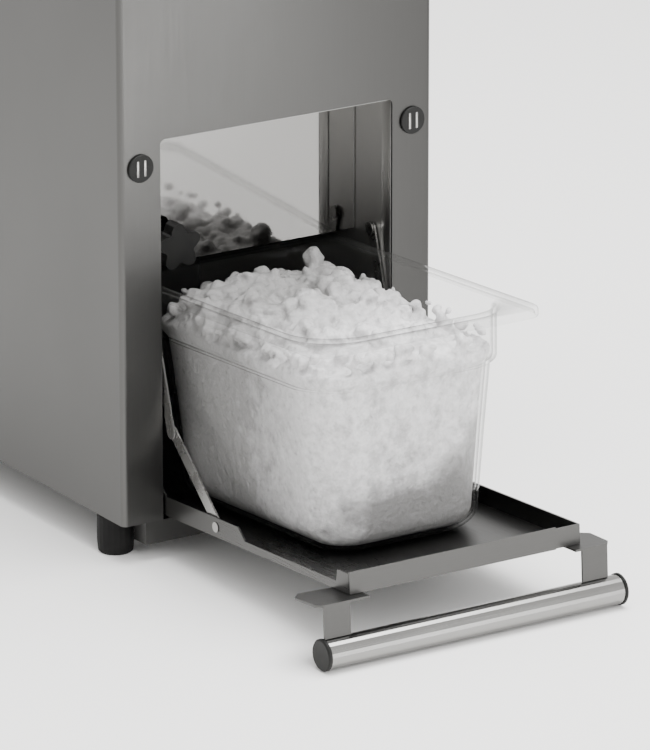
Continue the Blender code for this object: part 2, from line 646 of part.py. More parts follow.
def build_drive():
    """Make the motor, its cradle, shaft and pulley, the belt and the run capacitor."""
    motor_end = [(0.0, 0.0600), (0.0300, 0.0600), (0.0300, 0.0560), (0.0480, 0.0500), (MOTOR_RADIUS, 0.0400),
                 (MOTOR_RADIUS, -0.0600), (0.0480, -0.0680), (0.0, -0.0700)]
    motor = turned("motor", motor_end, (0.0, MOTOR_Y, MOTOR_Z), "X", PAINT, steps=28)
    cut(motor, cylinder("motor_bore", 0.0080, 0.0150, 0.0700, (0.0, MOTOR_Y, MOTOR_Z), "X"))
    cradle = box("motor_cradle", (-0.0450, 0.0350), (0.2600, 0.3400), (DECK_Z + 0.0018, 0.3380), STEEL)
    centre = (0.0, MOTOR_Y, MOTOR_Z)
    cut(cradle, cylinder("cradle_seat", MOTOR_RADIUS + 0.0004, -0.1, 0.1, centre, "X", steps=28))
    cylinder("motor_shaft", 0.0070, 0.0180, 0.1000, (0.0, MOTOR_Y, MOTOR_Z), "X", material=ZINC)
    build_pulley("motor_pulley", MOTOR_PULLEY_RADIUS, MOTOR_Y, MOTOR_Z, 0.0073)
    large = ROTOR_PULLEY_RADIUS - GROOVE_DEPTH + GAP
    small = MOTOR_PULLEY_RADIUS - GROOVE_DEPTH + GAP
    dy = MOTOR_Y - ROTOR_Y
    dz = MOTOR_Z - ROTOR_Z
    direction = math.degrees(math.atan2(dz, dy))
    spread = math.degrees(math.acos((large - small) / math.hypot(dy, dz)))
    loops = []
    for offset in (0.0026, 0.0):
        loop = arc((ROTOR_Y, ROTOR_Z), large + offset, direction + spread, direction + 360 - spread, 16)
        loop += arc((MOTOR_Y, MOTOR_Z), small + offset, direction - spread, direction + spread, 8)
        loops.append(loop)
    outline("drive_belt", loops, "YZ", PULLEY_X + 0.0019, PULLEY_X + PULLEY_WIDTH - 0.0019, RUBBER)
    can = [(0.0, 0.0680), (0.0150, 0.0680), (0.0160, 0.0670), (0.0160, 0.0), (0.0, 0.0)]
    turned("run_capacitor", can, (-0.0960, 0.2620, DECK_Z + 0.0018), "Z", CAST)


def build_top():
    """Make the feed hopper, the top cover, the hinged lid, its rod and its handle."""
    low_y, high_y = 0.0680, 0.1900
    rings = []
    t = 0.0015
    outer = [(0.0630, low_y, high_y, 0.4103), (0.0630, low_y, high_y, 0.4300),
             (0.0720, 0.0560, 0.2020, 0.5850), (0.0760, 0.0520, 0.2060, 0.5855),
             (0.0760, 0.0520, 0.2060, 0.5870)]
    inner = [(0.0720 - t, 0.0560 + t, 0.2020 - t, 0.5870), (0.0630 - t, low_y + t, high_y - t, 0.4300),
             (0.0630 - t, low_y + t, high_y - t, 0.4103)]
    for half_x, y0, y1, z in outer + inner:
        rings.append((rounded_rectangle(half_x, y0 + FRONT_Y, y1 + FRONT_Y, 0.0100, 3), z))
    loft("feed_hopper", rings, STEEL, closed=True)
    x = CABINET_HALF_WIDTH
    cover = box("top_cover", (-x, x), (0.0, CABINET_DEPTH), (CASING_TOP + GAP, TOP_COVER_TOP), STEEL)
    inside = box("cover_inside", (-x + 0.0015, x - 0.0015), (0.0015, CABINET_DEPTH - 0.0015), (0.58, 0.6025))
    cut(cover, inside, box("cover_hole", (-0.0700, 0.0700), (0.0600, 0.1980), (0.58, 0.62)))
    for sign in (-1, 1):
        lug = span(sign, 0.0460, 0.0520)
        join(cover, box(f"hinge_lug_{side(sign)}", lug, (0.2100, 0.2220), (0.6030, 0.6136)))
    cut(cover, cylinder("lug_hole", 0.0023, -0.07, 0.07, (0.0, LID_HINGE_Y, LID_HINGE_Z), "X", steps=20))
    lid = box("feed_lid", (-0.0780, 0.0780), (0.0500, 0.2060), (TOP_COVER_TOP + 0.0004, 0.6124), STEEL)
    cut(lid, box("lid_inside", (-0.0765, 0.0765), (0.0515, 0.2045), (0.60, 0.6109)))
    barrel = cylinder("lid_barrel", 0.0038, -0.0440, 0.0440, (0.0, LID_HINGE_Y, LID_HINGE_Z), "X", steps=24)
    arm = box("lid_arm", (-0.0440, 0.0440), (0.2052, 0.2140), (0.6090, 0.6110))
    join(lid, arm, barrel)
    cut(lid, cylinder("lid_bore", 0.0023, -0.06, 0.06, (0.0, LID_HINGE_Y, LID_HINGE_Z), "X", steps=20))
    centre = (0.0, LID_HINGE_Y, LID_HINGE_Z)
    cylinder("lid_hinge_rod", 0.0020, -0.0530, 0.0530, centre, "X", material=ZINC, steps=20)
    grip = [(0.0, 0.0220), (0.0100, 0.0220), (0.0130, 0.0190), (0.0130, 0.0120), (0.0060, 0.0060),
            (0.0060, GAP), (0.0, GAP)]
    knob = turned("lid_knob", grip, (0.0, 0.0750, 0.6124), "Z", PLASTIC)
    hang((0.0, LID_HINGE_Y + FRONT_Y, LID_HINGE_Z), lid, knob)


def build_controls():
    """Make the rocker switch and its bezel, the pilot light and the reset button."""
    z = CONTROL_Z
    bezel = box("switch_bezel", (SWITCH_X - 0.0160, SWITCH_X + 0.0160), (-0.0025, -GAP),
                (z - 0.0230, z + 0.0230), PLASTIC)
    join(bezel, box("bezel_body", (SWITCH_X - 0.0130, SWITCH_X + 0.0130), (-0.0010, 0.0160),
                    (z - 0.0200, z + 0.0200)))
    cut(bezel, box("bezel_hole", (SWITCH_X - 0.0100, SWITCH_X + 0.0100), (-0.0100, 0.0130),
                   (z - 0.0170, z + 0.0170)))
    rocker = box("rocker_switch", (SWITCH_X - 0.0096, SWITCH_X + 0.0096), (-0.0030, 0.0030),
                 (-0.0155, 0.0155), RED)
    rocker.location = (SWITCH_X, FRONT_Y + 0.0015, z)
    rocker.rotation_euler = (SWITCH_TILT, 0.0, 0.0)
    button = [(0.0, 0.0090), (0.0050, 0.0090), (0.0050, -0.0045), (0.0042, -0.0055), (0.0, -0.0055)]
    turned("reset_button", button, (RESET_X, 0.0, z), "Y", RED)
    lens = [(0.0, 0.0090), (0.0050, 0.0090), (0.0050, -GAP), (0.0065, -GAP), (0.0065, -0.0012),
            (0.0052, -0.0030), (0.0028, -0.0041), (0.0, -0.0045)]
    turned("pilot_light", lens, (PILOT_X, 0.0, z), "Y", AMBER)


def main():
    """Build every piece of the machine."""
    build_casing()
    build_rear_panel()
    build_base()
    build_compartment()
    build_knob()
    build_catches()
    tray_frame = build_tray()
    build_stays(tray_frame)
    build_pan(tray_frame)
    build_crusher()
    build_drive()
    build_top()
    build_controls()
    smooth_round_pieces()


main()
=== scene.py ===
"""Visual model of a countertop shaved ice machine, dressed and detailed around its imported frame.

Units are metres, +Z is up and the machine faces -Y. Positions named "face" are counted from the
cabinet's front face, which stands at Y = FACE_Y.
"""

import logging
import math
import random
from dataclasses import dataclass
from enum import Enum
from typing import ClassVar

import bmesh
import bpy
from mathutils import Matrix, Vector, noise


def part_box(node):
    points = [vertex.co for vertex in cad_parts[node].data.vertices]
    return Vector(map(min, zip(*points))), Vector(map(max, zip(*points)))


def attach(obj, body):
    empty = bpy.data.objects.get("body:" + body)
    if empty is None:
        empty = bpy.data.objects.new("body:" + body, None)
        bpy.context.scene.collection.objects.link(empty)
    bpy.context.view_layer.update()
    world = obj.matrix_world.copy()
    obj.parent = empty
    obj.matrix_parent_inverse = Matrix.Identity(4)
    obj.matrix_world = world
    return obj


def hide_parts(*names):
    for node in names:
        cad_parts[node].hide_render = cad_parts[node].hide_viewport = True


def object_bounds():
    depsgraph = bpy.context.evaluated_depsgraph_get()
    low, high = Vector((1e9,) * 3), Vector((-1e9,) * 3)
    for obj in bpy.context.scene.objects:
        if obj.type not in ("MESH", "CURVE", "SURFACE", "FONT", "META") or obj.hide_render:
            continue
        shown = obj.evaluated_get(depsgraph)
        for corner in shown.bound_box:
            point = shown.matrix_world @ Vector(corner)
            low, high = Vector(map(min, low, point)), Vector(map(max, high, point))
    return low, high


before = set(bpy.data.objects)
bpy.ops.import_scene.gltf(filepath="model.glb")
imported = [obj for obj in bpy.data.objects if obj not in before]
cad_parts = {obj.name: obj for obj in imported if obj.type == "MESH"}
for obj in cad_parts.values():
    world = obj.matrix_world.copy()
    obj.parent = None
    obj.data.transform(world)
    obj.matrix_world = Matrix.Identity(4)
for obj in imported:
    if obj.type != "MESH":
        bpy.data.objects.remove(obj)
CAD_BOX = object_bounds()

LOG = logging.getLogger("shaved_ice_machine")
FACE_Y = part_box("casing")[0][1]
TRAY_HINGE = Vector((0.0, FACE_Y + 0.0120, 0.0445))
TRAY_TILT = math.radians(3.3)
TRAY_FRAME = Matrix.Translation(TRAY_HINGE) @ Matrix.Rotation(-TRAY_TILT, 4, "X")

Colour = tuple[float, float, float]


class Body(Enum):
    """The moving bodies that a new piece can ride on."""

    CABINET = "cabinet"
    PAN = "pan"


class Grain(Enum):
    """Directions of a brushed sheet's grain, as noise scales along X, Y and Z per metre."""

    UPRIGHT = (1400.0, 1400.0, 22.0)
    ACROSS = (22.0, 1400.0, 1400.0)
    DEEP = (1400.0, 22.0, 1400.0)


class Desk:
    """A node desk that lays out one material."""

    def __init__(self, name: str) -> None:
        """Start a material with a bare Principled shader.

        Args:
            name: The material's name.
        """
        self.material = bpy.data.materials.new(name)
        self.material.use_nodes = True
        self.tree = self.material.node_tree
        self.shader = self.tree.nodes["Principled BSDF"]

    def set(self, **values: object) -> None:
        """Set plain values on the shader's own sockets, with spaces written as underscores."""
        for key, value in values.items():
            self.shader.inputs[key.replace("_", " ")].default_value = value

    def feed(self, socket: str, output: bpy.types.NodeSocket) -> None:
        """Link an output to one of the shader's sockets."""
        self.tree.links.new(output, self.shader.inputs[socket])

    def place(self, scale: Colour = (1.0, 1.0, 1.0)) -> bpy.types.NodeSocket:
        """Read Object coordinates through a scale.

        Args:
            scale: Pattern repeats per metre on each axis.

        Returns:
            The scaled coordinate.
        """
        source = self.tree.nodes.new("ShaderNodeTexCoord")
        mapping = self.tree.nodes.new("ShaderNodeMapping")
        mapping.inputs["Scale"].default_value = scale
        self.tree.links.new(source.outputs["Object"], mapping.inputs["Vector"])
        return mapping.outputs["Vector"]

    def cloud(self, scale: Colour, detail: float = 3.0, rough: float = 0.5) -> bpy.types.NodeSocket:
        """Make a noise pattern.

        Args:
            scale: Pattern repeats per metre on each axis.
            detail: Octaves of finer noise.
            rough: Strength of the finer octaves.

        Returns:
            The pattern's value, from 0 to 1.
        """
        node = self.tree.nodes.new("ShaderNodeTexNoise")
        node.inputs["Scale"].default_value = 1.0
        node.inputs["Detail"].default_value = detail
        node.inputs["Roughness"].default_value = rough
        self.tree.links.new(self.place(scale), node.inputs["Vector"])
        return node.outputs["Fac"]

    def parts(self) -> bpy.types.Node:
        """Split Object coordinates into X, Y and Z.

        Returns:
            The node with the three outputs.
        """
        split = self.tree.nodes.new("ShaderNodeSeparateXYZ")
        self.tree.links.new(self.place(), split.inputs["Vector"])
        return split

    def cells(self, scale: float, smooth: float = 0.3) -> bpy.types.NodeSocket:
        """Make a pattern of rounded cells.

        Args:
            scale: Cells per metre.
            smooth: How far neighbouring cells run together.

        Returns:
            The distance to each cell's middle.
        """
        node = self.tree.nodes.new("ShaderNodeTexVoronoi")
        node.feature = "SMOOTH_F1"
        node.inputs["Scale"].default_value = 1.0
        node.inputs["Smoothness"].default_value = smooth
        self.tree.links.new(self.place((scale, scale, scale)), node.inputs["Vector"])
        return node.outputs["Distance"]

    def span(self, value: bpy.types.NodeSocket, low: float, high: float,
             start: float = 0.3, end: float = 0.7) -> bpy.types.NodeSocket:
        """Map a pattern's range to a value's range.

        Args:
            value: The pattern.
            low: The result at start.
            high: The result at end.
            start: The pattern's value for low.
            end: The pattern's value for high.

        Returns:
            The mapped value.
        """
        node = self.tree.nodes.new("ShaderNodeMapRange")
        node.inputs["From Min"].default_value = start
        node.inputs["From Max"].default_value = end
        node.inputs["To Min"].default_value = low
        node.inputs["To Max"].default_value = high
        self.tree.links.new(value, node.inputs["Value"])
        return node.outputs["Result"]

    def blend(self, value: bpy.types.NodeSocket, first: Colour, second: Colour) -> bpy.types.NodeSocket:
        """Blend two colours by a value.

        Args:
            value: 0 for the first colour and 1 for the second.
            first: The first colour.
            second: The second colour.

        Returns:
            The blended colour.
        """
        node = self.tree.nodes.new("ShaderNodeMix")
        node.data_type = "RGBA"
        node.inputs[6].default_value = (*first, 1.0)
        node.inputs[7].default_value = (*second, 1.0)
        self.tree.links.new(value, node.inputs[0])
        return node.outputs[2]

    def combine(self, operation: str, first: bpy.types.NodeSocket,
                second: bpy.types.NodeSocket | float) -> bpy.types.NodeSocket:
        """Combine two values by a Math node's operation.

        Args:
            operation: The operation's name.
            first: The first value.
            second: The second value, or a plain number.

        Returns:
            The result.
        """
        node = self.tree.nodes.new("ShaderNodeMath")
        node.operation = operation
        self.tree.links.new(first, node.inputs[0])
        if isinstance(second, float):
            node.inputs[1].default_value = second
        else:
            self.tree.links.new(second, node.inputs[1])
        return node.outputs["Value"]

    def scaled(self, colour: bpy.types.NodeSocket, value: bpy.types.NodeSocket) -> bpy.types.NodeSocket:
        """Multiply a colour by a value.

        Args:
            colour: The colour.
            value: The factor.

        Returns:
            The scaled colour.
        """
        node = self.tree.nodes.new("ShaderNodeVectorMath")
        node.operation = "SCALE"
        self.tree.links.new(colour, node.inputs[0])
        self.tree.links.new(value, node.inputs["Scale"])
        return node.outputs["Vector"]

    def relief(self, height: bpy.types.NodeSocket, strength: float, depth: float) -> None:
        """Give the shader a bump from a height pattern.

        Args:
            height: The pattern.
            strength: How strongly it shows, from 0 to 1.
            depth: The pattern's depth in metres.
        """
        node = self.tree.nodes.new("ShaderNodeBump")
        node.inputs["Strength"].default_value = strength
        node.inputs["Distance"].default_value = depth
        self.tree.links.new(height, node.inputs["Height"])
        self.feed("Normal", node.outputs["Normal"])


@dataclass(frozen=True)
class BrushedSheet:
    """Stainless sheet with a fine directional grain, faint handling marks and a painted shade ramp.

    A fade above 0 paints shade across the front, darker from left to right, and leaves the right
    flank and the rear at an even tone.
    """

    name: str
    tint: Colour = (0.078, 0.0772, 0.0750)
    roughness: float = 0.36
    grain: Grain = Grain.UPRIGHT
    streak: float = 0.05
    painted_shade_fade: float = 0.0
    # Painted light: gains that paint the left end and the right flank lighter.
    painted_light_left_gain: float = 1.12
    painted_light_flank_gain: float = 0.10

    def drift(self, desk: Desk) -> bpy.types.NodeSocket:
        """Make the painted shade factor that darkens the front from left to right.

        Args:
            desk: The material's desk.

        Returns:
            The factor for the sheet's colour.
        """
        split = desk.parts()
        across = desk.span(split.outputs["X"], self.painted_light_left_gain, self.painted_light_left_gain - self.painted_shade_fade, -0.12, 0.12)
        flank = desk.span(split.outputs["X"], 0.0, self.painted_shade_fade + self.painted_light_flank_gain, 0.1200, 0.1215)
        behind = desk.span(split.outputs["Y"], 0.0, self.painted_shade_fade, 0.30, 0.315)
        return desk.combine("ADD", across, desk.combine("MAXIMUM", flank, behind))

    def build(self) -> bpy.types.Material:
        """Make the material.

        Returns:
            The material.
        """
        desk = Desk(self.name)
        desk.set(Metallic=1.0)
        grain = desk.cloud(self.grain.value, 2.0, 0.6)
        marks = desk.cloud((9.0, 9.0, 7.0), 4.0, 0.55)
        tone = desk.combine("ADD", desk.span(grain, 0.0, 0.55), desk.span(marks, 0.0, 0.45))
        dark = tuple(channel * (1.0 - self.streak) for channel in self.tint)
        light = tuple(min(1.0, channel * (1.0 + self.streak)) for channel in self.tint)
        shade = desk.blend(tone, dark, light)
        # Paint the left-to-right shade ramp into the sheet's colour.
        if self.painted_shade_fade:
            shade = desk.scaled(shade, self.drift(desk))
        desk.feed("Base Color", shade)
        rough = desk.combine("ADD", desk.span(marks, -0.035, 0.045),
                             desk.span(grain, self.roughness - 0.025, self.roughness + 0.035))
        desk.feed("Roughness", rough)
        desk.relief(grain, 0.07, 0.00003)
        return desk.material


@dataclass(frozen=True)
class PolishedSheet:
    """Mirror-polished stainless sheet with faint wipe smears."""

    name: str
    tint: Colour = (0.215, 0.2125, 0.207)
    roughness: float = 0.045

    def build(self) -> bpy.types.Material:
        """Make the material.

        Returns:
            The material.
        """
        desk = Desk(self.name)
        desk.set(Metallic=1.0)
        smear = desk.cloud((14.0, 30.0, 6.0), 4.0, 0.6)
        desk.feed("Base Color", desk.blend(smear, tuple(c * 0.94 for c in self.tint), self.tint))
        desk.feed("Roughness", desk.span(smear, self.roughness - 0.02, self.roughness + 0.05))
        desk.relief(desk.cloud((3.0, 3.0, 3.0), 1.0, 0.4), 0.02, 0.001)
        return desk.material


@dataclass(frozen=True)
class TurnedMetal:
    """Plated, cast or machined metal with a fine pebble and dull patches."""

    name: str
    tint: Colour
    roughness: float = 0.32
    pebble: float = 1200.0
    depth: float = 0.00005

    def build(self) -> bpy.types.Material:
        """Make the material.

        Returns:
            The material.
        """
        desk = Desk(self.name)
        desk.set(Metallic=1.0)
        patch = desk.cloud((60.0, 60.0, 60.0), 4.0, 0.6)
        pebble = desk.cloud((self.pebble, self.pebble, self.pebble), 2.0, 0.5)
        desk.feed("Base Color", desk.blend(patch, tuple(c * 0.86 for c in self.tint), self.tint))
        desk.feed("Roughness", desk.span(patch, self.roughness - 0.06, self.roughness + 0.10))
        desk.relief(pebble, 0.25, self.depth)
        return desk.material


@dataclass(frozen=True)
class Moulded:
    """Moulded plastic or rubber with a fine spark texture, scuffs and settled dust."""

    name: str
    tint: Colour
    dust: Colour
    roughness: float = 0.42
    pebble: float = 1500.0
    depth: float = 0.00006
    gloss: float = 0.30

    def build(self) -> bpy.types.Material:
        """Make the material.

        Returns:
            The material.
        """
        desk = Desk(self.name)
        desk.set(Specular_IOR_Level=self.gloss)
        patch = desk.cloud((45.0, 45.0, 45.0), 5.0, 0.6)
        pebble = desk.cloud((self.pebble, self.pebble, self.pebble), 2.0, 0.5)
        desk.feed("Base Color", desk.blend(desk.span(patch, 0.0, 0.7), self.tint, self.dust))
        desk.feed("Roughness", desk.span(patch, self.roughness - 0.06, self.roughness + 0.12))
        desk.relief(pebble, 0.3, self.depth)
        return desk.material


@dataclass(frozen=True)
class ClearPlastic:
    """Clear polycarbonate in a dark tint that turns dense where it is seen edge on and along its bends,
    painting dark edge lines, with fine scuffs.
    """

    name: str
    # A dark tint, so that the dense edges and bends read as painted dark lines.
    tint: Colour = (0.060, 0.060, 0.058)
    face: float = 0.050
    edge: float = 0.85
    roughness: float = 0.07

    def build(self) -> bpy.types.Material:
        """Make the material.

        Returns:
            The material.
        """
        desk = Desk(self.name)
        desk.set(Metallic=0.0, IOR=1.58, Base_Color=(*self.tint, 1.0))
        facing = desk.tree.nodes.new("ShaderNodeLayerWeight")
        facing.inputs["Blend"].default_value = 0.5
        scuffs = desk.cloud((260.0, 260.0, 90.0), 5.0, 0.65)
        # Painted dark lines: the density attribute thickens the pan's bends and dims their gloss.
        rim = desk.tree.nodes.new("ShaderNodeAttribute")
        rim.attribute_name = "density"
        dense = desk.span(facing.outputs["Facing"], self.face, self.edge, 0.66, 0.97)
        dense = desk.combine("ADD", dense, rim.outputs["Fac"])
        desk.feed("Specular IOR Level", desk.span(rim.outputs["Fac"], 0.5, 0.08, 0.0, 0.6))
        desk.feed("Alpha", desk.combine("ADD", dense, desk.span(scuffs, 0.0, 0.03, 0.45, 0.75)))
        desk.feed("Roughness", desk.span(scuffs, self.roughness - 0.02, self.roughness + 0.10))
        desk.relief(desk.cloud((35.0, 35.0, 35.0), 2.0, 0.5), 0.05, 0.0004)
        return desk.material


@dataclass(frozen=True)
class Ice:
    """Crushed ice: white and crumbly above, greyer low on the right, with painted shade towards the rear."""

    name: str
    dry: Colour = (0.90, 0.89, 0.895)
    grey_and_painted_shade: Colour = (0.22, 0.217, 0.213)
    low_grey_line: float = 0.085
    low_grey_lean: float = 0.38
    rear_shade_line: float = -0.205
    rear_shade_lean: float = -0.45
    rear_shade_fade: float = 0.090

    def grey_and_painted_shade_mask(self, desk: Desk, clumps: bpy.types.NodeSocket) -> bpy.types.NodeSocket:
        """Make the mask that greys the ice low on the right and paints shade towards the rear.

        Args:
            desk: The material's desk.
            clumps: The pattern that breaks up the rear's edge.

        Returns:
            The mask, from 0 to 1.
        """
        split = desk.parts()
        ragged = desk.cloud((22.0, 22.0, 30.0), 4.0, 0.6)
        lean = desk.combine("MULTIPLY", split.outputs["X"], self.low_grey_lean)
        level = desk.combine("SUBTRACT", split.outputs["Z"], lean)
        level = desk.combine("ADD", level, desk.span(ragged, -0.022, 0.022))
        low = desk.span(level, 0.92, 0.0, self.low_grey_line - 0.020, self.low_grey_line + 0.012)
        # Painted shade towards the rear of the heap.
        lean = desk.combine("MULTIPLY", split.outputs["X"], self.rear_shade_lean)
        rear = desk.combine("ADD", split.outputs["Y"], lean)
        rear = desk.combine("ADD", rear, desk.span(clumps, -0.035, 0.035))
        behind = desk.span(rear, 0.0, 0.92, self.rear_shade_line, self.rear_shade_line + self.rear_shade_fade)
        return desk.combine("MAXIMUM", low, behind)

    def build(self) -> bpy.types.Material:
        """Make the material.

        Returns:
            The material.
        """
        desk = Desk(self.name)
        desk.set(Metallic=0.0, IOR=1.31)
        crumbs = desk.cloud((240.0, 240.0, 240.0), 5.0, 0.7)
        clumps = desk.cloud((75.0, 75.0, 75.0), 4.0, 0.65)
        frost = desk.combine("ADD", desk.span(crumbs, 0.0, 0.45, 0.35, 0.62),
                             desk.span(clumps, 0.0, 0.55, 0.36, 0.60))
        shade = desk.blend(frost, tuple(c * 0.50 for c in self.dry), self.dry)
        mix = desk.tree.nodes.new("ShaderNodeMix")
        mix.data_type = "RGBA"
        # Grey for the low ice and for the painted rear shade.
        mix.inputs[7].default_value = (*self.grey_and_painted_shade, 1.0)
        desk.tree.links.new(self.grey_and_painted_shade_mask(desk, clumps), mix.inputs[0])
        desk.tree.links.new(shade, mix.inputs[6])
        desk.feed("Base Color", mix.outputs[2])
        desk.feed("Roughness", desk.span(crumbs, 0.22, 0.55))
        lumps = desk.combine("ADD", desk.span(desk.cells(170.0), 0.6, 0.0, 0.0, 0.8),
                             desk.span(crumbs, 0.0, 0.5))
        desk.relief(lumps, 0.75, 0.0016)
        return desk.material


@dataclass(frozen=True)
class Floor:
    """Pale worktop with the faintest tone drift."""

    name: str
    tint: Colour = (0.97, 0.965, 0.955)

    def build(self) -> bpy.types.Material:
        """Make the material.

        Returns:
            The material.
        """
        desk = Desk(self.name)
        drift = desk.cloud((2.0, 2.0, 2.0), 3.0, 0.5)
        desk.feed("Base Color", desk.blend(drift, tuple(c * 0.985 for c in self.tint), self.tint))
        desk.set(Roughness=0.55, Metallic=0.0)
        return desk.material


class Finishes:
    """The machine's finishes, each built once and shared by name."""

    def __init__(self) -> None:
        """Build every finish."""
        kinds = [
            # The casing's steel, with the painted shade ramp across its front.
            BrushedSheet("brushed_upright", painted_shade_fade=0.42),
            BrushedSheet("brushed_across", grain=Grain.ACROSS),
            BrushedSheet("brushed_deep", grain=Grain.DEEP, roughness=0.30),
            BrushedSheet("brushed_liner", tint=(0.40, 0.396, 0.386), roughness=0.40, streak=0.03),
            # A lighter copy of the casing steel: a painted highlight on folded and bent edges.
            BrushedSheet("bright_edge", tint=(0.34, 0.337, 0.328), roughness=0.30, streak=0.03),
            BrushedSheet("brushed_tube", tint=(0.255, 0.252, 0.245), roughness=0.20, grain=Grain.ACROSS),
            PolishedSheet("mirror_sheet"),
            TurnedMetal("bright_plate", (0.34, 0.335, 0.325), roughness=0.26),
            TurnedMetal("cast_alloy", (0.30, 0.30, 0.298), roughness=0.48, pebble=700.0, depth=0.00015),
            Moulded("black_plastic", (0.004, 0.004, 0.004), (0.012, 0.012, 0.011), gloss=0.18),
            Moulded("black_rubber", (0.005, 0.005, 0.005), (0.016, 0.0155, 0.015), roughness=0.62,
                    pebble=900.0, depth=0.0001, gloss=0.12),
            Moulded("motor_enamel", (0.07, 0.075, 0.08), (0.12, 0.12, 0.12), roughness=0.36,
                    pebble=350.0, depth=0.0001),
            Moulded("red_plastic", (0.42, 0.03, 0.025), (0.50, 0.06, 0.05), roughness=0.26, depth=0.00003),
            Moulded("amber_lens", (0.80, 0.33, 0.05), (0.88, 0.42, 0.10), roughness=0.12,
                    pebble=600.0, depth=0.00003),
            ClearPlastic("clear_plastic"),
            Ice("crushed_ice"),
            Floor("worktop"),
        ]
        self.made = {kind.name: kind.build() for kind in kinds}

    def dress(self, piece: bpy.types.Object, name: str) -> None:
        """Give a piece one finish, in every material slot it has.

        Args:
            piece: The piece.
            name: The finish's name.
        """
        if not piece.material_slots:
            piece.data.materials.append(self.made[name])
        for slot in piece.material_slots:
            slot.material = self.made[name]


CAD_FINISH: dict[str, tuple[str, ...]] = {
    "brushed_upright": ("casing", "rear_panel", "rear_bulkhead"),
    "brushed_liner": ("side_liner_left", "side_liner_right", "discharge_chute", "deck_plate"),
    "brushed_across": ("front_channel", "tray_front_strip", "top_cover", "feed_lid", "handle_bracket_left",
                       "handle_bracket_right", "motor_cradle"),
    "brushed_deep": ("tray", "melt_tray", "base_plate", "feed_hopper"),
    "brushed_tube": ("handle_tube",),
    "mirror_sheet": ("chute_cover",),
    "bright_plate": ("hinge_pin_left", "hinge_pin_right", "stay_pin_left", "stay_pin_right",
                     "tray_rivet_left", "tray_rivet_right", "stay_upper_link_left",
                     "stay_upper_link_right", "stay_lower_link_left", "stay_lower_link_right", "rotor",
                     "crusher_comb", "bearing_left", "bearing_right", "motor_shaft", "lid_hinge_rod"),
    "cast_alloy": ("crusher_body", "rotor_pulley", "motor_pulley", "run_capacitor"),
    "black_plastic": ("cover_knob", "magnet_catch_left", "magnet_catch_right", "handle_end_cap_left",
                      "handle_end_cap_right", "lid_knob", "switch_bezel", "cable_gland"),
    "black_rubber": ("foot_front_left", "foot_front_right", "foot_rear_left", "foot_rear_right",
                     "drive_belt"),
    "motor_enamel": ("motor",),
    "red_plastic": ("rocker_switch", "reset_button"),
    "amber_lens": ("pilot_light",),
    "clear_plastic": ("ice_pan",),
}


class Workshop:
    """Turns bmeshes into finished pieces that ride on the frame."""

    def __init__(self, finishes: Finishes) -> None:
        """Keep the finishes and open a collection.

        Args:
            finishes: The finishes to dress pieces with.
        """
        self.finishes = finishes
        self.collection = bpy.data.collections.new("details")
        bpy.context.scene.collection.children.link(self.collection)

    def dress_frame(self) -> None:
        """Give every carried-over solid its finish."""
        for finish, nodes in CAD_FINISH.items():
            for node in nodes:
                piece = bpy.data.objects.get(node)
                if piece is not None:
                    self.finishes.dress(piece, finish)
                    LOG.info("%s: %s", node, finish)

    def add(self, name: str, bm: bmesh.types.BMesh, finish: str, body: Body, slot: str,
            smooth: float = 35.0) -> bpy.types.Object:
        """Make a piece from a bmesh that is already in its place.

        Args:
            name: The piece's name.
            bm: Its shape, freed here.
            finish: The finish's name.
            body: The body it rides on.
            slot: The record's material slot; not used.
            smooth: Edges sharper than this many degrees stay sharp.

        Returns:
            The new object.
        """
        mesh = bpy.data.meshes.new(name)
        bm.to_mesh(mesh)
        bm.free()
        mesh.shade_smooth()
        mesh.set_sharp_from_angle(angle=math.radians(smooth))
        piece = bpy.data.objects.new(name, mesh)
        self.collection.objects.link(piece)
        self.finishes.dress(piece, finish)
        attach(piece, body.value)
        LOG.info("%s: %d faces on %s", name, len(mesh.polygons), body.value)
        return piece


def soften(bm: bmesh.types.BMesh, width: float, segments: int = 2, angle: float = 40.0) -> None:
    """Round the sharp edges of a shape.

    Args:
        bm: The shape.
        width: The rounding's width in metres.
        segments: Faces across each rounding.
        angle: Only edges at least this sharp, in degrees, are rounded.
    """
    limit = math.radians(angle)
    sharp = [edge for edge in bm.edges if edge.is_manifold and edge.calc_face_angle() > limit]
    bmesh.ops.bevel(bm, geom=sharp, offset=width, offset_type="OFFSET", segments=segments, profile=0.5,
                    affect="EDGES", material=-1, clamp_overlap=True)


def block(size: Colour, centre: Vector, width: float = 0.0002) -> bmesh.types.BMesh:
    """Make a block with softened edges.

    Args:
        size: Its size along X, Y and Z.
        centre: Its middle.
        width: The rounding's width in metres.

    Returns:
        The block's shape.
    """
    bm = bmesh.new()
    bmesh.ops.create_cube(bm, size=1.0)
    bmesh.ops.scale(bm, vec=size, verts=bm.verts)
    soften(bm, width)
    bmesh.ops.translate(bm, vec=centre, verts=bm.verts)
    return bm


def merge(target: bmesh.types.BMesh, extra: bmesh.types.BMesh) -> None:
    """Copy one shape into another.

    Args:
        target: The shape that is added to.
        extra: The shape that is copied, freed here.
    """
    mesh = bpy.data.meshes.new("merge")
    extra.to_mesh(mesh)
    extra.free()
    target.from_mesh(mesh)
    bpy.data.meshes.remove(mesh)


@dataclass
class CatchPoles:
    """The two bright pole bars set in the face of each magnetic catch."""

    spacing: float = 0.0055
    width: float = 0.0016
    height: float = 0.0110
    proud: float = 0.00018
    sunk: float = 0.0008

    def build(self, shop: Workshop) -> None:
        """Make both pairs of bars.

        Args:
            shop: The workshop that finishes the pieces.
        """
        for side in ("left", "right"):
            low, high = (Vector(corner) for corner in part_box(f"magnet_catch_{side}"))
            middle = (low + high) / 2
            bars = bmesh.new()
            for sign in (-1, 1):
                centre = Vector((middle.x + sign * self.spacing / 2, low.y + self.sunk / 2, middle.z))
                merge(bars, block((self.width, self.sunk + 2 * self.proud, self.height), centre, 0.00015))
            shop.add(f"catch_poles_{side}", bars, "bright_plate", Body.CABINET, "plated_steel")


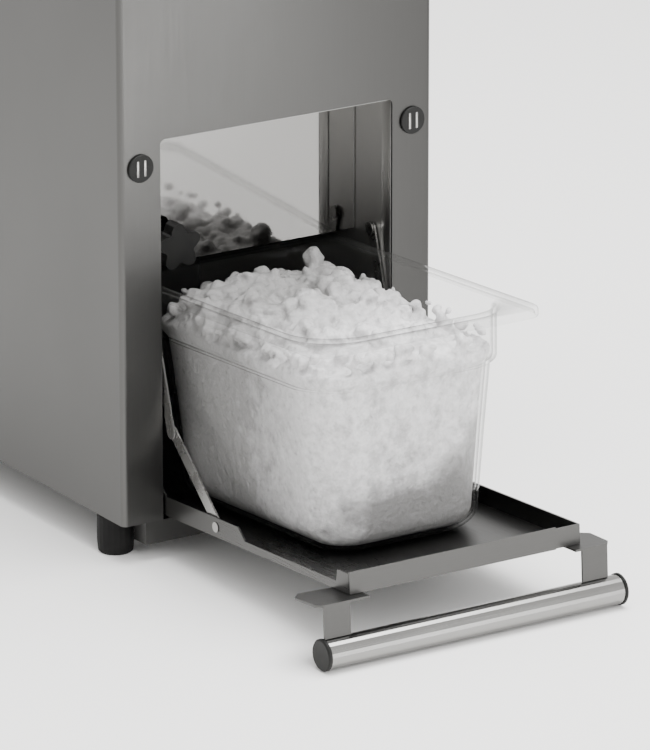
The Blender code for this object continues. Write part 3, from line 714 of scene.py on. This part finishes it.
@dataclass
class OpeningReturns:
    """The folded edges that line the ice opening behind the front face, lighter than the casing as a painted
    highlight.
    """

    depth: float = 0.0110
    thickness: float = 0.0004
    bottom: float = 0.1300
    top: float = 0.2912
    sheet: float = 0.0016
    rounding: float = 0.00012

    def build(self, shop: Workshop) -> None:
        """Make the two side returns and the top return.

        Args:
            shop: The workshop that finishes the pieces.
        """
        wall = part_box("side_liner_right")[0][0]
        near = FACE_Y + self.sheet
        middle_y = near + self.depth / 2
        strips = bmesh.new()
        for sign in (-1, 1):
            x = sign * (wall - 0.0001 - self.thickness / 2)
            size = (self.thickness, self.depth, self.top - self.bottom)
            merge(strips, block(size, Vector((x, middle_y, (self.bottom + self.top) / 2)), self.rounding))
        size = (2 * (wall - 0.0010), self.depth, self.thickness)
        merge(strips, block(size, Vector((0.0, middle_y, self.top)), self.rounding))
        shop.add("opening_returns", strips, "bright_edge", Body.CABINET, "satin_steel")


@dataclass
class ChannelEnds:
    """The bent ends of the channel under the front edge, lighter than the casing as a painted highlight."""

    thickness: float = 0.0018
    depth: float = 0.0120
    inset_x: float = 0.0012
    inset_y: float = 0.0082
    margin: float = 0.0034

    def build(self, shop: Workshop) -> None:
        """Make the bent tab at each end.

        Args:
            shop: The workshop that finishes the pieces.
        """
        low, high = (Vector(corner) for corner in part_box("front_channel"))
        tabs = bmesh.new()
        for x in (low.x + self.inset_x, high.x - self.inset_x):
            centre = Vector((x, low.y + self.inset_y, (low.z + high.z) / 2))
            size = (self.thickness, self.depth, high.z - low.z - self.margin)
            merge(tabs, block(size, centre, 0.00025))
        shop.add("channel_end_tabs", tabs, "bright_edge", Body.CABINET, "satin_steel")


@dataclass
class PanelScrews:
    """Pan-head cross-slot screws that hold the rear panel."""

    head_radius: float = 0.0034
    head_height: float = 0.0020
    head_steps: int = 6
    slot: Colour = (0.0034, 0.0006, 0.0008)
    rows: int = 5
    inset_x: float = 0.010
    inset_z: float = 0.014

    def head(self, place: Matrix) -> bmesh.types.BMesh:
        """Make one screw head with its cross slot, facing +Z before it is placed.

        Args:
            place: Where the head goes.

        Returns:
            The head's shape.
        """
        bm = bmesh.new()
        points = []
        for i in range(self.head_steps + 1):
            angle = math.pi / 2 * i / self.head_steps
            point = (self.head_radius * math.sin(angle), 0.0, self.head_height * math.cos(angle))
            points.append(bm.verts.new(point))
        points.append(bm.verts.new((self.head_radius, 0.0, -0.0002)))
        edges = [bm.edges.new(pair) for pair in zip(points, points[1:])]
        bmesh.ops.spin(bm, geom=points + edges, cent=(0, 0, 0), axis=(0, 0, 1), angle=math.tau, steps=24,
                       use_merge=True)
        bmesh.ops.remove_doubles(bm, verts=bm.verts, dist=0.00001)
        rim = [edge for edge in bm.edges if edge.is_boundary]
        bmesh.ops.contextual_create(bm, geom=rim)
        for turn in (0.0, math.pi / 2):
            slot = bmesh.new()
            bmesh.ops.create_cube(slot, size=1.0)
            bmesh.ops.scale(slot, vec=self.slot, verts=slot.verts)
            bmesh.ops.translate(slot, vec=(0.0, 0.0, self.head_height), verts=slot.verts)
            spun = Matrix.Rotation(turn + 0.35, 3, "Z")
            bmesh.ops.rotate(slot, cent=(0, 0, 0), matrix=spun, verts=slot.verts)
            bmesh.ops.translate(slot, vec=(0.0, 0.0, -0.00035), verts=slot.verts)
            merge(bm, slot)
        bmesh.ops.recalc_face_normals(bm, faces=bm.faces)
        bmesh.ops.transform(bm, matrix=place, verts=bm.verts)
        return bm

    def build(self, shop: Workshop) -> None:
        """Make the rear panel's ten screws.

        Args:
            shop: The workshop that finishes the pieces.
        """
        low, high = (Vector(corner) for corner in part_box("rear_panel"))
        heads = bmesh.new()
        facing = Matrix.Rotation(-math.pi / 2, 4, "X")
        for x in (low.x + self.inset_x, high.x - self.inset_x):
            for i in range(self.rows):
                z = low.z + self.inset_z + (high.z - low.z - 2 * self.inset_z) * i / (self.rows - 1)
                merge(heads, self.head(Matrix.Translation((x, high.y + 0.0003, z)) @ facing))
        shop.add("rear_panel_screws", heads, "bright_plate", Body.CABINET, "plated_steel")


@dataclass
class LouvreHoods:
    """Pressed hoods over the rear panel's vent slots."""

    width: float = 0.1440
    depth: float = 0.0045
    drop: float = 0.0100
    thickness: float = 0.0010
    count: int = 6
    lowest: float = 0.3800
    pitch: float = 0.022
    over_slot: float = 0.0075

    def build(self, shop: Workshop) -> None:
        """Make one hood above each of the six slots.

        Args:
            shop: The workshop that finishes the pieces.
        """
        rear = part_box("rear_panel")[1][1] + 0.0003
        hoods = bmesh.new()
        for row in range(self.count):
            top = self.lowest + self.pitch * row + self.over_slot
            bm = bmesh.new()
            profile = [(0.0, 0.0), (self.depth * 0.6, -self.drop * 0.30), (self.depth, -self.drop)]
            verts = [bm.verts.new((-self.width / 2, rear + y, top + z)) for y, z in profile]
            edges = [bm.edges.new(pair) for pair in zip(verts, verts[1:])]
            made = bmesh.ops.extrude_edge_only(bm, edges=edges)
            moved = [item for item in made["geom"] if isinstance(item, bmesh.types.BMVert)]
            bmesh.ops.translate(bm, vec=(self.width, 0.0, 0.0), verts=moved)
            bmesh.ops.recalc_face_normals(bm, faces=bm.faces)
            bmesh.ops.solidify(bm, geom=list(bm.faces), thickness=self.thickness)
            bmesh.ops.recalc_face_normals(bm, faces=bm.faces)
            merge(hoods, bm)
        lift = min(0.0, rear - min(vert.co.y for vert in hoods.verts))
        bmesh.ops.translate(hoods, vec=(0.0, -lift + 0.0002, 0.0), verts=hoods.verts)
        shop.add("rear_louvre_hoods", hoods, "brushed_across", Body.CABINET, "satin_steel")


def ring_points(inset_x: float, inset_y: float, radius: float, corner: int, straight: int) -> list[Vector]:
    """List a rounded rectangle's points inside the pan's outline, in the tray's frame.

    Args:
        inset_x: Distance in from the flange's sides.
        inset_y: Distance in from the flange's front and rear.
        radius: Corner radius.
        corner: Steps round each corner.
        straight: Steps along each straight side.

    Returns:
        The points in order, at height 0.
    """
    half_x = PanShell.half_width - inset_x
    low = PanShell.front + inset_y
    high = PanShell.front + PanShell.length - inset_y
    radius = min(radius, half_x * 0.98, (high - low) * 0.49)
    centres = [(half_x - radius, low + radius, -90), (half_x - radius, high - radius, 0),
               (-half_x + radius, high - radius, 90), (-half_x + radius, low + radius, 180)]
    points: list[Vector] = []
    for index, (cx, cy, start) in enumerate(centres):
        for step in range(corner + 1):
            angle = math.radians(start + 90 * step / corner)
            points.append(Vector((cx + radius * math.cos(angle), cy + radius * math.sin(angle), 0.0)))
        nx, ny, following = centres[(index + 1) % 4]
        angle = math.radians(following)
        end = Vector((nx + radius * math.cos(angle), ny + radius * math.sin(angle), 0.0))
        begin = points[-1].copy()
        for step in range(1, straight):
            points.append(begin.lerp(end, step / straight))
    return points


def grow(bm: bmesh.types.BMesh, verts: list[bmesh.types.BMVert], edges: list[bmesh.types.BMEdge],
         places: list[Vector]) -> tuple[list[bmesh.types.BMVert], list[bmesh.types.BMEdge]]:
    """Extrude a closed ring of edges and move the new ring to its places.

    Args:
        bm: The shape.
        verts: The ring's points in order.
        edges: The ring's edges.
        places: Where each point's copy goes.

    Returns:
        The new ring's points in order and its edges.
    """
    made = bmesh.ops.extrude_edge_only(bm, edges=edges)["geom"]
    fresh = [item for item in made if isinstance(item, bmesh.types.BMVert)]
    lookup = {tuple(round(value, 9) for value in vert.co): vert for vert in fresh}
    ordered = [lookup[tuple(round(value, 9) for value in vert.co)] for vert in verts]
    new_edges = [item for item in made if isinstance(item, bmesh.types.BMEdge)
                 and item.verts[0] in set(fresh) and item.verts[1] in set(fresh)]
    for vert, place in zip(ordered, places):
        vert.co = place
    return ordered, new_edges


def first_ring(bm: bmesh.types.BMesh, places: list[Vector]
               ) -> tuple[list[bmesh.types.BMVert], list[bmesh.types.BMEdge]]:
    """Start a shape with one closed ring.

    Args:
        bm: The shape.
        places: The ring's points in order.

    Returns:
        The ring's points and edges.
    """
    verts = [bm.verts.new(place) for place in places]
    count = len(verts)
    edges = [bm.edges.new((verts[i], verts[(i + 1) % count])) for i in range(count)]
    return verts, edges


@dataclass
class PanShell:
    """Clear ice pan: turned-down flange, stacking shoulder and tapered walls with round corners."""

    half_width: ClassVar[float] = 0.0880
    front: ClassVar[float] = -0.2075
    length: ClassVar[float] = 0.2650
    floor: ClassVar[float] = -0.0125
    wall: float = 0.0024
    bottom_round: float = 0.0180
    bottom_inset: float = 0.0405
    bottom_steps: int = 7
    bottom_sweep: float = 84.0
    side_extra: float = 0.0050
    corner_steps: int = 12
    straight_steps: int = 2

    def outer_levels(self) -> list[tuple[float, float, float]]:
        """List the outside from floor to flange.

        Returns:
            Each level's inset, height and corner radius.
        """
        levels = [(0.0520, 0.0, 0.014)]
        for step in range(self.bottom_steps + 1):
            angle = math.radians(self.bottom_sweep * step / self.bottom_steps)
            inset = self.bottom_inset - self.bottom_round * math.sin(angle)
            height = self.bottom_round - self.bottom_round * math.cos(angle)
            levels.append((inset, height, 0.020 + 0.014 * step / self.bottom_steps))
        levels += [(0.0180, 0.0700, 0.0358), (0.0142, 0.1120, 0.0370), (0.0139, 0.1134, 0.0372),
                   (0.0128, 0.1146, 0.0376), (0.0115, 0.1152, 0.0380), (0.0108, 0.1162, 0.0382),
                   (0.0105, 0.1180, 0.0382), (0.0100, 0.1440, 0.0384), (0.0098, 0.1468, 0.0384),
                   (0.0090, 0.1490, 0.0382), (0.0074, 0.1500, 0.0375), (0.0030, 0.1500, 0.0140),
                   (0.0019, 0.1495, 0.0108), (0.0016, 0.1484, 0.0104), (0.0015, 0.1467, 0.0104),
                   (0.0009, 0.1461, 0.0108), (0.0003, 0.1463, 0.0112), (0.0, 0.1470, 0.0114),
                   (0.0, 0.1510, 0.0114), (0.0004, 0.1521, 0.0112), (0.0014, 0.1528, 0.0106)]
        return levels

    def inner_levels(self) -> list[tuple[float, float, float]]:
        """List the inside from flange to floor.

        Returns:
            Each level's inset, height and corner radius.
        """
        wall = self.wall
        levels = [(0.0072, 0.1528, 0.0380), (0.0088, 0.1526, 0.0384), (0.0106, 0.1516, 0.0380),
                  (0.0118, 0.1498, 0.0375), (0.0100 + wall, 0.1460, 0.0365), (0.0105 + wall, 0.1190, 0.0360),
                  (0.0108 + wall, 0.1172, 0.0360), (0.0116 + wall, 0.1160, 0.0358),
                  (0.0128 + wall, 0.1152, 0.0354), (0.0140 + wall, 0.1140, 0.0350),
                  (0.0144 + wall, 0.1120, 0.0348), (0.0180 + wall, 0.0700, 0.0336)]
        radius = self.bottom_round - wall
        for step in range(self.bottom_steps, -1, -1):
            angle = math.radians(self.bottom_sweep * step / self.bottom_steps)
            inset = self.bottom_inset - radius * math.sin(angle)
            height = wall + radius - radius * math.cos(angle)
            levels.append((inset, height, 0.018 + 0.013 * step / self.bottom_steps))
        levels.append((0.0520, wall, 0.012))
        return levels

    def painted_bend_lines(self, height: float, inside: bool) -> float:
        """Give how dense the plastic is painted at a height: painted dark lines along its bends and thick
        edges.

        Args:
            height: The height over the pan's floor.
            inside: Whether the point is on the inside.

        Returns:
            The painted line density, from 0 to 1.
        """
        bends = [(0.1155, 0.0013, 0.92), (0.1466, 0.0006, 0.80), (0.1525, 0.0007, 0.55)]
        if inside:
            bends = [(0.1507, 0.0014, 0.85)]
        return max(peak * math.exp(-((height - middle) / width) ** 2) for middle, width, peak in bends)

    def ring(self, inset: float, height: float, radius: float) -> list[Vector]:
        """Place one level's points in the tray's frame.

        Args:
            inset: Distance in from the flange.
            height: Height over the pan's floor.
            radius: Corner radius.

        Returns:
            The points in order.
        """
        extra = self.side_extra * min(1.0, inset / 0.008)
        points = ring_points(inset, inset + extra, radius, self.corner_steps, self.straight_steps)
        return [Vector((point.x, point.y, self.floor + height)) for point in points]

    def build(self, shop: Workshop) -> None:
        """Make the shell and put it in place of the frame's plain pan.

        Args:
            shop: The workshop that finishes the pieces.
        """
        bm = bmesh.new()
        density = bm.verts.layers.float.new("density")
        levels = [(level, False) for level in self.outer_levels()]
        levels += [(level, True) for level in self.inner_levels()]
        verts, edges = first_ring(bm, self.ring(*levels[0][0]))
        bmesh.ops.contextual_create(bm, geom=edges)
        for level, inside in levels[1:]:
            verts, edges = grow(bm, verts, edges, self.ring(*level))
            for vert in verts:
                # Paint dark lines along the bends.
                vert[density] = self.painted_bend_lines(level[1], inside)
        bmesh.ops.contextual_create(bm, geom=edges)
        bmesh.ops.recalc_face_normals(bm, faces=bm.faces)
        if bm.calc_volume(signed=True) < 0.0:
            bmesh.ops.reverse_faces(bm, faces=bm.faces)
        bmesh.ops.transform(bm, matrix=TRAY_FRAME, verts=bm.verts)
        shell = shop.add("pan_shell", bm, "clear_plastic", Body.PAN, "clear_plastic", smooth=50.0)
        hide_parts("ice_pan")


@dataclass
class CrushedIce:
    """The crushed ice in the pan: packed lumps against the walls under a heap that rises to the rear."""

    clearance: float = 0.0016
    levels: int = 40
    rings: int = 36
    heap_lumps: int = 1150
    wall_lumps: int = 1050
    voxel: float = 0.00150
    seed: int = 7
    brim: float = 0.1240
    reach_x: float = 0.071
    reach_y: float = 0.021

    def surface(self, x: float, y: float) -> float:
        """Give the heap's height over the pan's floor.

        Args:
            x: The point's X in the tray's frame.
            y: The point's Y in the tray's frame.

        Returns:
            The height.
        """
        back = min(1.0, max(0.0, (y + 0.160) / 0.130))
        back = back * back * (3 - 2 * back)
        right = min(1.0, max(0.0, (x - 0.015) / 0.055))
        height = 0.130 + 0.017 * back - 0.018 * right * right * (0.5 + 0.5 * back)
        height -= 0.012 * max(0.0, (abs(x) - 0.045) / 0.030)
        height -= 0.012 * max(0.0, (y + 0.006) / 0.020)
        height += noise.noise(Vector((x * 34, y * 34, 4.0))) * 0.0100
        height += noise.noise(Vector((x * 80, y * 80, 9.0))) * 0.0055
        return height

    def wall_inset(self, height: float) -> tuple[float, float]:
        """Give the pan's inner inset and corner radius.

        Args:
            height: The height over the pan's floor.

        Returns:
            The inset and the radius.
        """
        levels = sorted(PanShell().inner_levels(), key=lambda level: level[1])
        previous = levels[0]
        for level in levels:
            if level[1] >= height:
                break
            previous = level
        gap = max(1e-6, level[1] - previous[1])
        share = min(1.0, max(0.0, (height - previous[1]) / gap))
        inset, radius = (previous[i] + (level[i] - previous[i]) * share for i in (0, 2))
        return inset, radius

    def wall_ring(self, height: float, extra_inset: float) -> list[Vector]:
        """List points just inside the pan's wall.

        Args:
            height: The height over the pan's floor.
            extra_inset: The distance in from the wall.

        Returns:
            The points in order.
        """
        shell = PanShell()
        inset, radius = self.wall_inset(height)
        inset += extra_inset
        points = ring_points(inset, inset + shell.side_extra, radius, 12, 24)
        return [Vector((point.x, point.y, shell.floor + height)) for point in points]

    def core(self) -> bmesh.types.BMesh:
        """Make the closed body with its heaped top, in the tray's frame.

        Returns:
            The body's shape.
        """
        bm = bmesh.new()
        shell = PanShell()
        start = shell.wall + self.clearance
        verts: list[bmesh.types.BMVert] = []
        edges: list[bmesh.types.BMEdge] = []
        for index in range(self.levels + 1):
            height = start + (self.brim - start) * index / self.levels
            places = self.wall_ring(height, self.clearance)
            if index == 0:
                verts, edges = first_ring(bm, places)
                bmesh.ops.contextual_create(bm, geom=edges)
            else:
                verts, edges = grow(bm, verts, edges, places)
        rim = [vert.co.copy() for vert in verts]
        middle = shell.front + shell.length / 2
        for index in range(1, self.rings + 1):
            share = (index / self.rings) ** 0.9 * 0.985
            climb = min(1.0, index / 4.0)
            places = []
            for point in rim:
                x = point.x * (1 - share)
                y = point.y + (middle - point.y) * share
                height = self.brim + (self.surface(x, y) - self.brim) * climb
                places.append(Vector((x, y, shell.floor + height)))
            verts, edges = grow(bm, verts, edges, places)
        bmesh.ops.contextual_create(bm, geom=edges)
        bmesh.ops.recalc_face_normals(bm, faces=bm.faces)
        if bm.calc_volume(signed=True) < 0.0:
            bmesh.ops.reverse_faces(bm, faces=bm.faces)
        return bm

    def lump(self, bm: bmesh.types.BMesh, rng: random.Random, place: Vector, size: float,
             rough: float) -> None:
        """Add one irregular lump.

        Args:
            bm: The shape to add to.
            rng: The seeded source of variety.
            place: The lump's centre in the tray's frame.
            size: Its mean radius.
            rough: How far its surface strays from a ball.
        """
        bit = bmesh.new()
        bmesh.ops.create_icosphere(bit, subdivisions=2, radius=size)
        offset = Vector((rng.random() * 50, rng.random() * 50, rng.random() * 50))
        for vert in bit.verts:
            vert.co *= 1.0 + rough * noise.noise(vert.co * (1.1 / size) + offset)
        axis = Vector((rng.random() - 0.5, rng.random() - 0.5, rng.random() + 0.1))
        turn = Matrix.Rotation(rng.uniform(0, math.tau), 4, axis)
        stretch = Matrix.Diagonal((rng.uniform(0.8, 1.3), rng.uniform(0.7, 1.1), rng.uniform(0.6, 1.0), 1.0))
        bmesh.ops.transform(bit, matrix=Matrix.Translation(place) @ turn @ stretch, verts=bit.verts)
        merge(bm, bit)

    def scatter(self, bm: bmesh.types.BMesh) -> None:
        """Scatter lumps over the heap and against the walls.

        Args:
            bm: The shape to add to.
        """
        rng = random.Random(self.seed)
        shell = PanShell()
        middle = shell.front + shell.length / 2
        placed = 0
        while placed < self.heap_lumps:
            x = rng.uniform(-self.reach_x, self.reach_x)
            y = rng.uniform(shell.front + self.reach_y, shell.front + shell.length - self.reach_y)
            corner = math.hypot(max(0.0, abs(x) - 0.042), max(0.0, abs(y - middle) - 0.058))
            if corner > 0.027:
                continue
            size = 0.0019 + 0.0052 * rng.random() ** 2.2
            height = self.surface(x, y) + size * rng.uniform(-0.5, 0.55)
            self.lump(bm, rng, Vector((x, y, shell.floor + height)), size, 0.55)
            placed += 1
        for _ in range(self.wall_lumps):
            size = rng.uniform(0.0022, 0.0046)
            height = rng.uniform(0.022, 0.136)
            ring = self.wall_ring(height, 0.0005 + size * 1.25)
            self.lump(bm, rng, rng.choice(ring), size, 0.30)

    def build(self, shop: Workshop) -> None:
        """Fuse the core and its lumps into one crumbly piece.

        Args:
            shop: The workshop that finishes the pieces.
        """
        bm = self.core()
        self.scatter(bm)
        bmesh.ops.transform(bm, matrix=TRAY_FRAME, verts=bm.verts)
        piece = shop.add("crushed_ice", bm, "crushed_ice", Body.PAN, "clear_plastic", smooth=180.0)
        fuse = piece.modifiers.new("fuse", "REMESH")
        fuse.mode = "VOXEL"
        fuse.voxel_size = self.voxel
        fuse.use_smooth_shade = True
        ease = piece.modifiers.new("ease", "SMOOTH")
        ease.factor = 0.5
        ease.iterations = 1
        graph = bpy.context.evaluated_depsgraph_get()
        fused = bpy.data.meshes.new_from_object(piece.evaluated_get(graph))
        piece.modifiers.clear()
        piece.data = fused
        LOG.info("crushed_ice: %d faces after fusing", len(fused.polygons))


@dataclass
class Studio:
    """The floor, the lights and the camera."""

    lens: float = 328.2
    camera_from_face: Colour = (-2.3198, -3.6898, 1.5431)
    yaw: float = 32.57
    pitch: float = 18.16
    roll: float = -0.05

    def build_floor(self, finishes: Finishes) -> None:
        """Lay the worktop.

        Args:
            finishes: The finishes to dress it with.
        """
        bm = bmesh.new()
        bmesh.ops.create_grid(bm, x_segments=2, y_segments=2, size=14.0)
        bmesh.ops.translate(bm, vec=(0.0, 0.0, CAD_BOX[0][2]), verts=bm.verts)
        mesh = bpy.data.meshes.new("worktop")
        bm.to_mesh(mesh)
        bm.free()
        floor = bpy.data.objects.new("worktop", mesh)
        bpy.context.scene.collection.objects.link(floor)
        finishes.dress(floor, "worktop")

    def build_camera(self) -> None:
        """Set the camera at its measured place and direction."""
        camera = bpy.data.cameras.new("camera")
        camera.lens = self.lens
        camera.sensor_width = 36.0
        camera.sensor_fit = "AUTO"
        camera.clip_end = 100.0
        yaw = math.radians(self.yaw)
        pitch = math.radians(self.pitch)
        ahead = Vector((math.sin(yaw) * math.cos(pitch), math.cos(yaw) * math.cos(pitch), -math.sin(pitch)))
        right = Vector((math.cos(yaw), -math.sin(yaw), 0.0))
        up = right.cross(ahead)
        turn = Matrix((right, up, -ahead)).transposed().to_4x4()
        turn = turn @ Matrix.Rotation(math.radians(self.roll), 4, "Z")
        x, y, z = self.camera_from_face
        holder = bpy.data.objects.new("camera", camera)
        holder.matrix_world = Matrix.Translation((x, y + FACE_Y, z)) @ turn
        bpy.context.scene.collection.objects.link(holder)
        bpy.context.scene.camera = holder

    def softbox(self, name: str, place: Colour, target: Colour, size: tuple[float, float],
                power: float) -> None:
        """Hang one rectangular softbox.

        Args:
            name: The light's name.
            place: Where it hangs.
            target: What it points at.
            size: Its width and height.
            power: Its power in watts.
        """
        light = bpy.data.lights.new(name, "AREA")
        light.shape = "RECTANGLE"
        light.size, light.size_y = size
        light.energy = power
        holder = bpy.data.objects.new(name, light)
        holder.visible_camera = False
        direction = Vector(target) - Vector(place)
        holder.location = place
        holder.rotation_euler = direction.to_track_quat("-Z", "Y").to_euler()
        bpy.context.scene.collection.objects.link(holder)

    def build_lights(self) -> None:
        """Light the set from above and in front, with a small low light at the front right."""
        world = bpy.data.worlds.new("studio")
        bpy.context.scene.world = world
        world.use_nodes = True
        background = world.node_tree.nodes["Background"]
        background.inputs["Color"].default_value = (1.0, 0.995, 0.985, 1.0)
        background.inputs["Strength"].default_value = 1.45
        self.softbox("overhead", (0.30, -0.30, 2.4), (0.0, 0.0, 0.2), (1.8, 1.8), 115.0)
        self.softbox("front", (-0.6, -3.2, 2.2), (0.0, -0.1, 0.2), (1.6, 1.6), 60.0)
        self.softbox("low_front", (0.42, -1.10, 0.16), (0.0, 0.0, 0.42), (0.30, 0.30), 2.2)

    def build(self, finishes: Finishes) -> None:
        """Set the floor, lights and camera.

        Args:
            finishes: The finishes to dress the floor with.
        """
        self.build_floor(finishes)
        self.build_lights()
        self.build_camera()


def main() -> None:
    """Build the finishes, dress the frame and add every new piece."""
    logging.basicConfig(level=logging.INFO, format="%(name)s %(message)s")
    finishes = Finishes()
    shop = Workshop(finishes)
    Studio().build(finishes)
    shop.dress_frame()
    assemblies = (CatchPoles(), OpeningReturns(), ChannelEnds(), PanelScrews(), LouvreHoods(), PanShell(),
                  CrushedIce())
    for assembly in assemblies:
        assembly.build(shop)


if __name__ == "__main__":
    main()
